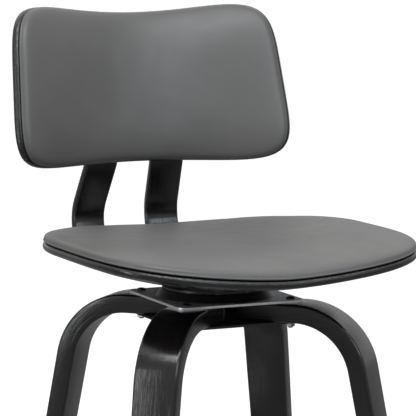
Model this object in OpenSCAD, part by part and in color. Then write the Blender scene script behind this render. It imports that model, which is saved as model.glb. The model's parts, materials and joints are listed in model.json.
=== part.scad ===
// Swivel chair with a dished seat, a low curved back and four bent wooden legs.
// Millimetres. The floor is z = 0, the front is -Y and the sitter's left is +X.
// The origin is on the floor, at the middle of the whole chair's footprint.

/* [Seat] */
// Height of the swivel disc's top face above the floor
deck_h = 605; // [480:5:720]
// Width of the seat
seat_w = 450; // [380:5:540]
// Depth of the seat in front of its widest line
seat_front = 233; // [190:1:280]
// Depth of the seat behind its widest line
seat_rear = 239; // [190:1:285]
// Distance from the swivel axis back to the widest line
seat_shift = 4.5; // [0:0.5:15]
// Squareness of the seat's front half, where 2 is an ellipse
seat_front_square = 4.4; // [2:0.1:6]
// Squareness of the seat's rear half
seat_rear_square = 1.9; // [1.7:0.1:4]
// Thickness of the seat shell
seat_shell_t = 11; // [8:0.5:15]
// Depth of the dish inside the raised edge
seat_dish = 11.7; // [6:0.1:16]
// Rise of the seat's left and right edges
seat_side_rise = 24.9; // [15:0.1:32]
// Rise of the seat's rear edge
seat_rear_rise = 2; // [0:0.5:8]
// Height of the seat pad above the shell's edge
seat_pad_h = 27.5; // [15:0.5:40]
// Fullness of the pads' rounded edges, where 2 is a plain dome
pad_full = 2.7; // [2:0.1:4]
// Thickness of the board inside each pad
board_t = 3; // [2:0.5:5]

/* [Back] */
// Half width of the backrest, along its curve, at mid height
back_half_w = 221.6; // [180:0.1:260]
// Narrowing of each side from mid height to the top, and widening to the bottom
back_taper = 10.9; // [0:0.1:20]
// Height of the backrest at its corners
back_h = 253.6; // [210:0.1:300]
// Drop of the top edge's middle below its corners
back_top_dip = 16.9; // [0:0.1:30]
// Rise of the bottom edge's middle above its corners
back_bottom_arch = 25.6; // [0:0.1:35]
// Squareness of the backrest's corners
back_square = 5; // [3:0.1:8]
// Radius of the back shell's rear face
back_r = 320.4; // [270:0.1:420]
// Thickness of the back shell
back_shell_t = 12; // [9:0.5:15]
// Thickness of the back pad in front of its shell
back_pad_h = 25; // [15:0.5:35]
// Lean of the backrest
recline = 11.8; // [5:0.1:18]
// Distance of the backrest's middle behind the swivel axis
back_y = 285.1; // [260:0.1:310]
// Height of the backrest's middle above the swivel disc
back_rise = 236.7; // [215:0.1:270]

/* [Back supports] */
// Width of each support strip
strip_w = 48; // [38:1:54]
// Thickness of each support strip
strip_t = 12; // [9:0.5:15]
// Distance of each strip's upright part from the middle plane
strip_x = 58; // [50:1:70]
// Distance of the strips' rearmost faces behind the swivel axis
strip_rear = 317.8; // [305:0.1:335]
// Middle radius of the lower bend
strip_bend_r = 50; // [40:1:60]
// Middle radius of the upper bend
strip_top_bend_r = 60; // [40:1:75]
// Forward lean of the stretch between the bends
strip_kick = 28; // [22:1:34]
// Inward lean of the strips
strip_lean = 2; // [0:0.5:6]
// Splay of the strips, seen from above
strip_toe = 6; // [3:0.5:8]
// Length of the strips' level stretch under the seat
strip_run = 178; // [150:1:190]
// Reach of the strips above the backrest's middle
strip_above = 25; // [15:1:60]

/* [Swivel] */
// Radius of the swivel disc
disc_r = 70; // [64:1:76]
// Thickness of the swivel disc
disc_t = 3; // [2:0.5:5]
// Radius of the housing at its foot
housing_r = 78; // [76:1:84]
// Wall of the housing
housing_wall = 2.5; // [1.5:0.5:4]
// Side of the square base plate
plate_w = 178; // [165:1:200]
// Thickness of the base plates
plate_t = 3; // [2:0.5:5]
// Distance of the plate's bolts from its middle, along each side
plate_hole = 74; // [68:1:78]
// Diameter of the bearing balls
ball_d = 6.3; // [4:0.1:8]
// Number of bearing balls
balls = 20; // [12:1:26]
// Radius of the ring of balls
ball_ring_r = 43; // [38:1:46]
// Thickness of each race
race_t = 2.5; // [2:0.1:4]
// Depth of the groove in each race
groove = 0.4; // [0.3:0.1:1]
// Radius of the king pin
pin_r = 6; // [4:0.5:8]
// Width of the mounting block between the disc and the seat
block_w = 60; // [52:1:64]
// Length of the mounting block
block_l = 132; // [124:1:140]
// Thickness of the mounting block
block_t = 12.7; // [10:0.1:20]

/* [Legs] */
// Width of each leg at the top
leg_w = 58; // [45:1:70]
// Width of each leg at the floor
leg_foot_w = 45; // [35:1:58]
// Thickness of the legs
leg_t = 25; // [18:1:32]
// Distance from the swivel axis to the legs' inner ends
leg_inner = 40; // [36:1:46]
// Distance from the swivel axis to where the legs start to bend
leg_flat = 118; // [112:1:140]
// Outer radius of the legs' bend
leg_bend_r = 100; // [80:1:140]
// Outward lean of the legs
leg_splay = 11; // [6:0.5:15]
// Height of the foot ring
ring_h = 230; // [180:5:300]
// Diameter of the foot ring's tube
ring_d = 19; // [15:1:25]
// Wall of the foot ring's tube
ring_wall = 1.5; // [1:0.1:3]
// Height of the glides under the legs
glide_h = 8; // [5:1:12]
// Radius of the glides
glide_r = 11.5; // [8:0.5:12]

/* [Fasteners] */
// Radius of the bolts in the plates, legs, strips and foot ring
bolt_r = 3.2; // [2.5:0.1:4]
// Radius of the bolts' domed heads
bolt_head_r = 6; // [5:0.5:7]
// Height of the bolts' domed heads
bolt_head_h = 3.6; // [2.5:0.1:5]
// Radius of the wood screws
screw_r = 2.2; // [1.6:0.1:3]
// Radius of the wood screws' heads
screw_head_r = 4; // [3.5:0.5:5]
// Height of the wood screws' heads
screw_head_h = 2.4; // [1.5:0.1:3]

/* [Clearances] */
// Gap between pieces that lie on each other
gap = 0.3; // [0.2:0.05:0.6]
// Radial clearance of a fastener in its hole
hole_gap = 0.1; // [0.05:0.05:0.3]
// Radial clearance of a running fit
run_gap = 0.05; // [0.02:0.01:0.1]
// Gap between the turning disc and the housing
turn_gap = 1; // [0.5:0.1:2]

/* [Hidden] */
$fn = 64;

// Angles of the legs about the swivel axis, from the sitter's left towards the rear
FRONT_LEFT = -45;
FRONT_RIGHT = -135;
REAR_LEFT = 45;
REAR_RIGHT = 135;
CORNERS = [FRONT_LEFT, FRONT_RIGHT, REAR_LEFT, REAR_RIGHT];
CUT = 0.1;     // overshoot of a cut past a face
bend_steps = 24;
BIG = 2000;    // larger than the chair

BLACK = "#26262a";
STEEL = "#c4c6c9";
CHROME = "#e2e4e6";
GREY = "#77787a";
PLY = "#b99a6b";
NYLON = "#1c1c1e";

// Swivel stack, downwards from the disc's top face
swivel_h = disc_t + ball_d + 2 * (race_t - groove) + plate_t;
disc_low = deck_h - disc_t;
leg_top = deck_h - swivel_h;
plate_top = leg_top + plate_t;
ball_z = (disc_low + plate_top) / 2;
race_w = 13;
cage_t = 1.2;
pin_head_r = pin_r + 4;
pin_head_h = 2.7;
lower_plate_w = 2 * (plate_hole + 10);
plate_corner = 12;
hex_nut_r = 6;
hex_nut_h = 5;
bolt_end = 2;      // length of a bolt past what it holds

// Seat, upwards from the disc's top face
shell_low = deck_h + block_t + gap;
rim_level = shell_low + seat_shell_t + seat_dish;
side_curve = 1.56;
dish_curve = 5;
pad_inset = 0.7;
pad_edge = 2.5;
rays = 48;
ring_step = 0.16;
board_rings = [ring_step, 2 * ring_step, 3 * ring_step, 0.62, 0.76, 0.88, 0.94];
board_k = board_rings[len(board_rings) - 1];
rings = concat(board_rings, [0.97, 1]);
disc_screw_x = 20;
disc_screw_y = 54;
disc_screw_l = disc_t + block_t + gap + 7;

// Back supports. Each strip is drawn in its own plane: y runs back from its rearmost middle line
// and z runs up from the middle line of its level stretch.
function side_rise(x) = seat_side_rise * pow(abs(x) / (seat_w / 2), side_curve);
strip_front_x = strip_x - (strip_run + strip_bend_r) * sin(strip_toe);
strip_top = min([for (s = [-1, 1])
    shell_low + side_rise(strip_front_x + s * strip_w / 2) - s * strip_w / 2 * sin(strip_lean)]) - gap;
strip_mid = strip_top - strip_t / 2;
strip_turn = 90 + strip_kick;
strip_recline = atan((tan(recline) * cos(strip_lean) - sin(strip_lean) * sin(strip_toe)) / cos(strip_toe));
strip_back = strip_turn - (90 - strip_recline);
function shell_sag(x) = back_r - sqrt(back_r * back_r - x * x);
function strip_x_at(z) = strip_x - z * sin(strip_lean);
middle_z = deck_h + back_rise - strip_mid;
end_x = strip_x_at(middle_z + strip_above);
touch_x = min(max(back_r * sin(strip_toe), end_x - strip_w / 2), end_x + strip_w / 2);
seat_off = strip_t / 2 + 2 * gap + (touch_x - end_x) * tan(strip_toe) - shell_sag(touch_x);
meet_z = (middle_z - seat_off * sin(recline)) / cos(strip_lean);
meet_y = (back_y + seat_off * cos(recline) - strip_rear + strip_t / 2
    - meet_z * sin(strip_lean) * sin(strip_toe)) / cos(strip_toe);
kick_y = strip_bend_r * (sin(strip_turn) - 1);
kick_z = strip_bend_r * (1 - cos(strip_turn));
kick_l = ((meet_y - kick_y) * cos(strip_recline) - (meet_z - kick_z) * sin(strip_recline))
    / (cos(strip_turn) * cos(strip_recline) - sin(strip_turn) * sin(strip_recline));
kick_run = kick_l - strip_top_bend_r * tan(strip_back / 2);
elbow_cy = kick_y + kick_run * cos(strip_turn) + strip_top_bend_r * sin(strip_turn);
elbow_cz = kick_z + kick_run * sin(strip_turn) - strip_top_bend_r * cos(strip_turn);
seat_bolt_at = [for (from_end = [22, 82]) strip_bend_r + strip_run - from_end];
seat_bolt_low = strip_t / 2 + bolt_head_r * sin(strip_lean) + gap;
seat_bolt_l = seat_bolt_low + shell_low - strip_mid + seat_shell_t;
back_bolt_l = strip_t + back_shell_t;
back_bolt_at = [-45, 5];
nut_r = 4.4;
nut_flange_r = 9;
nut_flange_t = 1.2;
nut_hole_r = nut_flange_r + 2;
nut_short = 3;         // how much shorter a tee nut's barrel is than its shell

// Legs, each drawn along +X with the swivel axis at x = 0
bolt_at = plate_hole * sqrt(2);
screw_at = leg_inner + 22;
leg_screw_l = 15;      // in the wood
glide_screw_l = 22;
glide_sink = screw_head_h + 1;
function leg_face(across, z) =
    let (down = (leg_top - leg_bend_r + across * sin(leg_splay) - z) / cos(leg_splay))
    leg_flat + across * cos(leg_splay) + down * sin(leg_splay);
ring_r = leg_face(leg_bend_r - leg_t, ring_h) - (ring_d / 2 + gap) / cos(leg_splay);
glide_at = leg_face(leg_bend_r - leg_t / 2, glide_h);

// Footprint: the front feet or the foot ring, and the strips' lower bends, reach furthest
foot_reach = (leg_face(leg_bend_r, glide_h) + leg_foot_w / 2) / sqrt(2);
front_reach = max(foot_reach, ring_r + ring_d / 2, seat_front - seat_shift);
axis_y = (front_reach - strip_rear) / 2;

module on_axis() {
    translate([0, axis_y, 0]) children();
}

// Points along an arc from one angle to another
function arc(centre, radius, from, to) =
    [for (i = [0 : bend_steps]) let (a = from + (to - from) * i / bend_steps)
        centre + radius * [cos(a), sin(a)]];

module at_corners() {
    for (a = CORNERS) rotate(a) children();
}

// Domed head on the plane z = 0, shank below it
module bolt(length) {
    cylinder(h = bolt_head_h, r1 = bolt_head_r, r2 = 0.55 * bolt_head_r);
    translate([0, 0, -length]) cylinder(h = length, r = bolt_r);
}

// Flat head on the plane z = 0, shank below it
module wood_screw(length) {
    cylinder(h = screw_head_h, r = screw_head_r);
    translate([0, 0, -length]) cylinder(h = length, r = screw_r);
}

module hex_nut() {
    difference() {
        cylinder(h = hex_nut_h, r = hex_nut_r, $fn = 6);
        translate([0, 0, -CUT]) cylinder(h = hex_nut_h + 2 * CUT, r = bolt_r + hole_gap);
    }
}

module square_plate(side) {
    linear_extrude(plate_t) {
        square([side - 2 * plate_corner, side], center = true);
        square([side, side - 2 * plate_corner], center = true);
        for (x = [-1, 1], y = [-1, 1]) translate([x, y] * (side / 2 - plate_corner)) circle(plate_corner);
    }
}

// Closed solid between two sheets. Each sheet is a function of k, from 0 at the middle to 1 at the
// edge, and of the angle round the middle.
module between(upper, lower, steps) {
    turn = 360 / rays;
    sheet = function(f) concat([f(0, 0)], [for (k = steps, j = [0 : rays - 1]) f(k, j * turn)]);
    half = 1 + rays * len(steps);
    at = function(i, j) 1 + i * rays + j % rays;
    edge = len(steps) - 1;
    top = concat(
        [for (j = [0 : rays - 1]) [0, at(0, j + 1), at(0, j)]],
        [for (i = [0 : edge - 1], j = [0 : rays - 1], upper_half = [true, false])
            upper_half
                ? [at(i, j), at(i, j + 1), at(i + 1, j + 1)]
                : [at(i, j), at(i + 1, j + 1), at(i + 1, j)]]);
    bottom = [for (f = top) [f[0] + half, f[2] + half, f[1] + half]];
    side = [for (j = [0 : rays - 1], upper_half = [true, false])
        upper_half
            ? [at(edge, j), at(edge, j + 1), at(edge, j + 1) + half]
            : [at(edge, j), at(edge, j + 1) + half, at(edge, j) + half]];
    polyhedron(points = concat(sheet(upper), sheet(lower)), faces = concat(top, bottom, side), convexity = 6);
}

function unit_edge(a, square) = pow(pow(abs(cos(a)), square) + pow(abs(sin(a)), square), -1 / square);
function dome(k) = pow(1 - pow(k, pad_full), 1 / pad_full);

// Point of the seat's rim surface, lifted by a height
function seat_point(k, a, inset, lift) =
    let (
        front = sin(a) < 0,
        reach = k * unit_edge(a, front ? seat_front_square : seat_rear_square),
        x = (seat_w / 2 - inset) * reach * cos(a),
        depth = front ? seat_front : seat_rear,
        y = (depth - inset) * reach * sin(a),
        rear = front ? 0 : seat_rear_rise * pow(y / depth, 2)
    )
    [x, seat_shift + y, rim_level + side_rise(x) + rear + lift];
function dish(k) = seat_dish * (pow(k, dish_curve) - 1);
function under_pad(k) = k > board_k ? gap : board_t + 2 * gap;

// Point of the backrest, a distance in front of the shell's rear face
function back_point(k, a, inset, ahead) =
    let (
        reach = k * unit_edge(a, back_square),
        u = reach * cos(a),
        v = reach * sin(a),
        bow = v > 0 ? -back_top_dip : back_bottom_arch,
        along = (back_half_w - inset - back_taper * v) * u,
        up = (back_h / 2 - inset) * v + bow * (1 - u * u) * abs(v),
        turn = along / back_r * 180 / PI,
        r = back_r - ahead,
        forward = back_r - r * cos(turn)
    )
    [
        r * sin(turn),
        back_y - forward * cos(recline) + up * sin(recline),
        deck_h + back_rise + forward * sin(recline) + up * cos(recline)
    ];

// Side view of a leg: level, then the bend, then straight down to its glide
function leg_outline() = concat(
    [[leg_inner, leg_top]],
    arc([leg_flat, leg_top - leg_bend_r], leg_bend_r, 90, leg_splay),
    [[leg_face(leg_bend_r, glide_h), glide_h], [leg_face(leg_bend_r - leg_t, glide_h), glide_h]],
    arc([leg_flat, leg_top - leg_bend_r], leg_bend_r - leg_t, leg_splay, 90),
    [[leg_inner, leg_top - leg_t]]
);

module leg(corner) {
    color(BLACK) on_axis() rotate(corner) difference() {
        intersection() {
            rotate([90, 0, 0]) linear_extrude(leg_w + 2 * CUT, center = true) polygon(leg_outline());
            leg_taper();
        }
        translate([bolt_at, 0, leg_top - leg_t - CUT]) cylinder(h = leg_t + 2 * CUT, r = bolt_r + hole_gap);
        translate([screw_at, 0, leg_top - leg_t - CUT]) cylinder(h = leg_screw_l + 1, r = screw_r + hole_gap);
        translate([glide_at, 0, glide_h - CUT]) cylinder(h = glide_screw_l, r = screw_r + hole_gap);
        at_ring_bolt() cylinder(h = ring_d + leg_t, r = bolt_r + hole_gap);
    }
}

// Front view of a leg: full width at the bend, narrowing from there to the floor
module leg_taper() {
    shoulder = leg_top - leg_bend_r;
    floor_w = leg_foot_w - (leg_w - leg_foot_w) * glide_h / (shoulder - glide_h);
    rotate([90, 0, 90]) linear_extrude(BIG) polygon([
        [-leg_w / 2, leg_top + CUT], [-leg_w / 2, shoulder], [-floor_w / 2, 0],
        [floor_w / 2, 0], [leg_w / 2, shoulder], [leg_w / 2, leg_top + CUT]
    ]);
}

// Z runs out of the foot ring, square to a leg that lies along +X
module at_ring_bolt() {
    translate([ring_r, 0, ring_h]) rotate([0, 90 - leg_splay, 0]) children();
}

module front_left_leg() {
    leg(FRONT_LEFT);
}

module front_right_leg() {
    leg(FRONT_RIGHT);
}

module rear_left_leg() {
    leg(REAR_LEFT);
}

module rear_right_leg() {
    leg(REAR_RIGHT);
}

module glide(corner) {
    color(NYLON) on_axis() rotate(corner) translate([glide_at, 0, 0]) difference() {
        cylinder(h = glide_h, r = glide_r);
        translate([0, 0, -CUT]) cylinder(h = glide_sink + CUT, r = screw_head_r + 5 * hole_gap);
        cylinder(h = glide_h + CUT, r = screw_r + hole_gap);
    }
}

module front_left_glide() {
    glide(FRONT_LEFT);
}

module front_right_glide() {
    glide(FRONT_RIGHT);
}

module rear_left_glide() {
    glide(REAR_LEFT);
}

module rear_right_glide() {
    glide(REAR_RIGHT);
}

module glide_screws() {
    color(STEEL) on_axis() at_corners()
        translate([glide_at, 0, glide_sink]) mirror([0, 0, 1]) wood_screw(glide_screw_l);
}

module foot_ring() {
    color(CHROME) on_axis() difference() {
        translate([0, 0, ring_h]) rotate_extrude() translate([ring_r, 0]) difference() {
            circle(r = ring_d / 2);
            circle(r = ring_d / 2 - ring_wall);
        }
        at_corners() at_ring_bolt() cylinder(h = ring_d, r = bolt_r + hole_gap);
    }
}

module foot_ring_bolts() {
    color(BLACK) on_axis() at_corners() at_ring_bolt()
        translate([0, 0, ring_d / 2 + gap + leg_t]) bolt(leg_t + gap + ring_wall + 2 * bolt_end);
}

module corner_holes() {
    at_corners() translate([bolt_at, 0, -CUT]) cylinder(h = plate_t + 2 * CUT, r = bolt_r + hole_gap);
}

module swivel_base_plate() {
    color(STEEL) on_axis() translate([0, 0, leg_top]) difference() {
        square_plate(plate_w);
        corner_holes();
        translate([0, 0, -CUT]) cylinder(h = plate_t + 2 * CUT, r = pin_r + run_gap);
    }
}

module lower_leg_plate() {
    color(BLACK) on_axis() translate([0, 0, leg_top - leg_t - plate_t]) difference() {
        square_plate(lower_plate_w);
        corner_holes();
        at_corners() translate([screw_at, 0, -CUT]) cylinder(h = plate_t + 2 * CUT, r = screw_r + hole_gap);
    }
}

module leg_bolts() {
    color(BLACK) on_axis() at_corners()
        translate([bolt_at, 0, plate_top]) bolt(2 * plate_t + leg_t + hex_nut_h + bolt_end);
}

module leg_bolt_nuts() {
    color(STEEL) on_axis() at_corners()
        translate([bolt_at, 0, leg_top - leg_t - plate_t - hex_nut_h]) hex_nut();
}

module leg_screws() {
    color(STEEL) on_axis() at_corners()
        translate([screw_at, 0, leg_top - leg_t - plate_t]) mirror([0, 0, 1]) wood_screw(plate_t + leg_screw_l);
}

module swivel_housing() {
    color(BLACK) on_axis() rotate_extrude() polygon([
        [disc_r, disc_low - turn_gap],
        [disc_r - housing_wall, disc_low - turn_gap],
        [housing_r - housing_wall, plate_top],
        [housing_r, plate_top]
    ]);
}

// Fixed in the base plate. Its upper head holds the turning disc down.
module king_pin() {
    color(STEEL) on_axis() {
        translate([0, 0, leg_top - pin_head_h]) cylinder(h = pin_head_h, r = pin_head_r);
        translate([0, 0, leg_top]) cylinder(h = swivel_h + gap, r = pin_r);
        translate([0, 0, deck_h + gap]) cylinder(h = pin_head_h, r = pin_head_r);
    }
}

// Flat ring with a groove for the balls in the face that lies towards them
module race(low) {
    difference() {
        translate([0, 0, low]) rotate_extrude()
            translate([ball_ring_r - race_w / 2, 0]) square([race_w, race_t]);
        translate([0, 0, ball_z]) rotate_extrude()
            translate([ball_ring_r, 0]) circle(r = ball_d / 2 + run_gap);
    }
}

module lower_race() {
    color(STEEL) on_axis() race(plate_top);
}

module upper_race() {
    color(STEEL) on_axis() race(disc_low - race_t);
}

module at_balls() {
    for (i = [0 : balls - 1]) rotate(i * 360 / balls) translate([ball_ring_r, 0, ball_z]) children();
}

module ball_cage() {
    color(NYLON) on_axis() difference() {
        translate([0, 0, ball_z - cage_t / 2]) rotate_extrude()
            translate([ball_ring_r - race_w / 2, 0]) square([race_w, cage_t]);
        at_balls() cylinder(h = 2 * cage_t, r = ball_d / 2 + run_gap, center = true);
    }
}

module bearing_balls() {
    color(CHROME) on_axis() at_balls() sphere(r = ball_d / 2);
}

module at_disc_screws() {
    for (x = [-1, 1], y = [-1, 1]) translate([x * disc_screw_x, y * disc_screw_y, disc_low]) children();
}

module swivel_top_disc() {
    color(BLACK) on_axis() difference() {
        translate([0, 0, disc_low]) cylinder(h = disc_t, r = disc_r);
        translate([0, 0, disc_low - CUT]) cylinder(h = disc_t + 2 * CUT, r = pin_r + run_gap);
        at_disc_screws() translate([0, 0, -CUT]) cylinder(h = disc_t + 2 * CUT, r = screw_r + hole_gap);
    }
}

module mounting_block() {
    color(BLACK) on_axis() difference() {
        translate([-block_w / 2, -block_l / 2, deck_h]) cube([block_w, block_l, block_t]);
        translate([0, 0, deck_h - CUT]) cylinder(h = pin_head_h + 3 * gap + CUT, r = pin_head_r + turn_gap);
        at_disc_screws() cylinder(h = disc_t + block_t + CUT, r = screw_r + hole_gap);
    }
}

module disc_screws() {
    color(STEEL) on_axis() at_disc_screws() mirror([0, 0, 1]) wood_screw(disc_screw_l);
}

module seat_shell() {
    color(BLACK) on_axis() difference() {
        between(
            function(k, a) seat_point(k, a, 0, dish(k)),
            function(k, a) seat_point(k, a, 0, dish(k) - seat_shell_t),
            rings);
        at_disc_screws() cylinder(h = disc_screw_l + gap, r = screw_r + hole_gap);
        at_seat_bolts() cylinder(h = BIG, r = nut_r + hole_gap);
    }
}

module seat_pad_board() {
    color(PLY) on_axis() difference() {
        between(
            function(k, a) seat_point(k, a, pad_inset, dish(k) + gap + board_t),
            function(k, a) seat_point(k, a, pad_inset, dish(k) + gap),
            board_rings);
        at_seat_bolts() cylinder(h = BIG, r = nut_hole_r);
    }
}

module seat_pad() {
    color(GREY) on_axis() between(
        function(k, a) seat_point(k, a, pad_inset, gap + pad_edge + (seat_pad_h - gap - pad_edge) * dome(k)),
        function(k, a) seat_point(k, a, pad_inset, dish(k) + under_pad(k)),
        rings);
}

// The sitter's left strip, or its mirror image
module strip_side(left) {
    mirror([left ? 0 : 1, 0, 0]) children();
}

// From a strip's own plane to its place on the left side
module at_strip() {
    translate([strip_x, strip_rear - strip_t / 2, strip_mid]) rotate(-strip_toe) rotate([0, -strip_lean, 0])
        children();
}

// Z runs up from a seat bolt's head, under the strip
module at_left_seat_bolts() {
    for (d = seat_bolt_at)
        translate([strip_x - d * sin(strip_toe), strip_rear - strip_t / 2 - d * cos(strip_toe), strip_mid])
            children();
}

module at_seat_bolts() {
    for (left = [true, false]) strip_side(left) at_left_seat_bolts() children();
}

// Z runs up the strip's top stretch and Y runs to the rear, from beside the backrest's middle
module at_strip_top() {
    translate([0, meet_y, meet_z]) rotate([-strip_recline, 0, 0]) children();
}

// Z runs forward from the strip's rear face, at a height beside the backrest's middle
module at_left_back_bolt(h) {
    at_strip() at_strip_top() translate([0, strip_t / 2, h]) rotate([90, 0, 0]) children();
}

module at_left_back_bolts() {
    for (h = back_bolt_at) at_left_back_bolt(h) children();
}

module at_back_bolts() {
    for (left = [true, false]) strip_side(left) at_left_back_bolts() children();
}

// One face of a strip in its own plane, at a distance to the left of its middle line
function strip_face(left) = concat(
    [[-strip_bend_r - strip_run, left]],
    arc([-strip_bend_r, strip_bend_r], strip_bend_r - left, -90, strip_turn - 90),
    arc([elbow_cy, elbow_cz], strip_top_bend_r + left, strip_turn + 90, 180 - strip_recline),
    [[meet_y + strip_above * sin(strip_recline) - left * cos(strip_recline),
      meet_z + strip_above * cos(strip_recline) + left * sin(strip_recline)]]
);

module strip() {
    near = strip_face(strip_t / 2);
    far = strip_face(-strip_t / 2);
    rotate([90, 0, 90]) linear_extrude(strip_w, center = true)
        polygon(concat(near, [for (i = [len(far) - 1 : -1 : 0]) far[i]]));
}

module back_support(left) {
    color(BLACK) on_axis() strip_side(left) difference() {
        at_strip() strip();
        at_left_seat_bolts() cylinder(h = 4 * strip_t, r = bolt_r + hole_gap, center = true);
        at_left_back_bolts() cylinder(h = 4 * strip_t, r = bolt_r + hole_gap, center = true);
    }
}

module left_back_support() {
    back_support(true);
}

module right_back_support() {
    back_support(false);
}

module seat_bolts() {
    color(BLACK) on_axis() at_seat_bolts()
        translate([0, 0, -seat_bolt_low]) mirror([0, 0, 1]) bolt(seat_bolt_l);
}

module back_bolts() {
    color(BLACK) on_axis() at_back_bolts() mirror([0, 0, 1]) bolt(back_bolt_l);
}

// Barrel below the plane z = 0 and flange above it
module tee_nut(length) {
    difference() {
        union() {
            translate([0, 0, -length]) cylinder(h = length, r = nut_r);
            cylinder(h = nut_flange_t, r = nut_flange_r);
        }
        translate([0, 0, -length - CUT]) cylinder(h = length + nut_flange_t + 2 * CUT, r = bolt_r + hole_gap);
    }
}

// Height of the seat shell's upper face at a place behind the widest line
function shell_level(x, y) =
    let (k = sqrt(pow(x / (seat_w / 2), 2) + pow(y / seat_rear, 2)))
    shell_low + seat_shell_t + side_rise(x) + seat_rear_rise * pow(y / seat_rear, 2)
        + seat_dish * pow(k, dish_curve);

// Highest level under the flange of the nut at a distance along the strip
function nut_seat(d) =
    let (
        x = strip_x - d * sin(strip_toe),
        y = strip_rear - strip_t / 2 - d * cos(strip_toe) - seat_shift
    )
    max([for (a = [0 : 45 : 315]) shell_level(x + nut_flange_r * cos(a), y + nut_flange_r * sin(a))]);

module seat_tee_nuts() {
    color(STEEL) on_axis() for (left = [true, false], d = seat_bolt_at) strip_side(left)
        translate([strip_x - d * sin(strip_toe), strip_rear - strip_t / 2 - d * cos(strip_toe),
            nut_seat(d) + gap])
            tee_nut(seat_shell_t - nut_short);
}

module back_shell() {
    color(BLACK) on_axis() difference() {
        between(
            function(k, a) back_point(k, a, 0, back_shell_t),
            function(k, a) back_point(k, a, 0, 0),
            rings);
        at_back_bolts() cylinder(h = strip_t + 2 * back_shell_t, r = nut_r + hole_gap);
    }
}

// Distance from a strip's rear face to the front face of the back shell beside the nut at a height. The
// shell is concave there, so its edge under the flange and its flat facets stand proud of its middle.
function back_nut_seat(h) =
    let (x = strip_x_at(middle_z + h))
    strip_t / 2 + seat_off + shell_sag(x) + back_shell_t
        + nut_flange_r * sin(abs(asin(x / back_r) - strip_toe))
        + pow(nut_flange_r, 2) / (2 * (back_r - back_shell_t))
        + pow(ring_step * back_half_w, 2) / (8 * back_r);

module back_tee_nuts() {
    color(STEEL) on_axis() for (left = [true, false], h = back_bolt_at) strip_side(left)
        at_left_back_bolt(h) translate([0, 0, back_nut_seat(h) + gap]) tee_nut(back_shell_t - nut_short);
}

module back_pad_board() {
    color(PLY) on_axis() difference() {
        between(
            function(k, a) back_point(k, a, pad_inset, back_shell_t + gap + board_t),
            function(k, a) back_point(k, a, pad_inset, back_shell_t + gap),
            board_rings);
        at_back_bolts() cylinder(h = strip_t + 3 * back_shell_t, r = nut_hole_r);
    }
}

module back_pad() {
    color(GREY) on_axis() between(
        function(k, a) back_point(k, a, pad_inset,
            back_shell_t + gap + pad_edge + (back_pad_h - gap - pad_edge) * dome(k)),
        function(k, a) back_point(k, a, pad_inset, back_shell_t + under_pad(k)),
        rings);
}

front_left_leg();
front_right_leg();
rear_left_leg();
rear_right_leg();
front_left_glide();
front_right_glide();
rear_left_glide();
rear_right_glide();
glide_screws();
foot_ring();
foot_ring_bolts();
swivel_base_plate();
lower_leg_plate();
leg_bolts();
leg_bolt_nuts();
leg_screws();
swivel_housing();
king_pin();
lower_race();
ball_cage();
bearing_balls();
upper_race();
swivel_top_disc();
mounting_block();
disc_screws();
seat_shell();
seat_tee_nuts();
seat_pad_board();
seat_pad();
left_back_support();
right_back_support();
seat_bolts();
back_bolts();
back_shell();
back_tee_nuts();
back_pad_board();
back_pad();
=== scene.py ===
"""A swivel chair with bent wooden legs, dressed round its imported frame.

Lengths are in metres. The floor is z = 0, the front is -Y and the sitter's left is +X. Sizes come
from the frame's boxes where a box gives them; the rest repeat the design's own driving sizes.
"""
import json
import math

import bmesh
import bpy
from mathutils import Matrix, Vector
from mathutils.kdtree import KDTree


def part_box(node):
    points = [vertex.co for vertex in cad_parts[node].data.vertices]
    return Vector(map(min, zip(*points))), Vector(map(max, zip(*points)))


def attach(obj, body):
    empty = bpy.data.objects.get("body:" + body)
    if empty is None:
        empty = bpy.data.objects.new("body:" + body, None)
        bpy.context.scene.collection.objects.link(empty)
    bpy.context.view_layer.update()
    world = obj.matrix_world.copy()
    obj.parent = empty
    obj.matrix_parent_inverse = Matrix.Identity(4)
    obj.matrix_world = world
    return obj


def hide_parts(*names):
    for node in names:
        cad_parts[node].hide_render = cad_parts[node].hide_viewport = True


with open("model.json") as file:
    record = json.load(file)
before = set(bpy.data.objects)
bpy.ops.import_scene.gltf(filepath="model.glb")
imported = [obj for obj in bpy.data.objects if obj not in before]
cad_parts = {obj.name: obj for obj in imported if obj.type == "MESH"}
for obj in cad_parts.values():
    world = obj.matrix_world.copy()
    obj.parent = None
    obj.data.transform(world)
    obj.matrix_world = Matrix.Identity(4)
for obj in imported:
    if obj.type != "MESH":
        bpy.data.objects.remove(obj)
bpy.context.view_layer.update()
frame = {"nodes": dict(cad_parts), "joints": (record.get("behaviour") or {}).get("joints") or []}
MM = 0.001

# Swivel axis, and the top face of the swivel disc
SWIVEL = next(j for j in frame["joints"] if j["name"] == "seat_swivel")
AXIS_Y = SWIVEL["pos_m"][1]
DECK_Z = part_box("swivel_top_disc")[1].z

# Seat
SHELL_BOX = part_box("seat_shell")
SEAT_HALF_W = SHELL_BOX[1].x
SEAT_SHIFT = 4.5 * MM            # from the swivel axis back to the seat's widest line
SEAT_FRONT = AXIS_Y + SEAT_SHIFT - SHELL_BOX[0].y
SEAT_REAR = SHELL_BOX[1].y - AXIS_Y - SEAT_SHIFT
SEAT_FRONT_SQUARE, SEAT_REAR_SQUARE = 4.4, 1.9      # powers of the superellipse in each half
SEAT_SHELL_T, SEAT_SHELL_ROUND = 11 * MM, 5.2 * MM
SEAT_DISH = 11.7 * MM
SEAT_SIDE_RISE = 24.9 * MM
SEAT_REAR_RISE = 2 * MM
SIDE_CURVE, DISH_CURVE = 1.56, 5     # powers of the rise to the sides and of the dish
SHELL_LOW = DECK_Z + 13 * MM      # the mounting block and a gap
RIM_LEVEL = SHELL_LOW + SEAT_SHELL_T + SEAT_DISH
SEAT_PAD_H = 27.5 * MM

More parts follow.
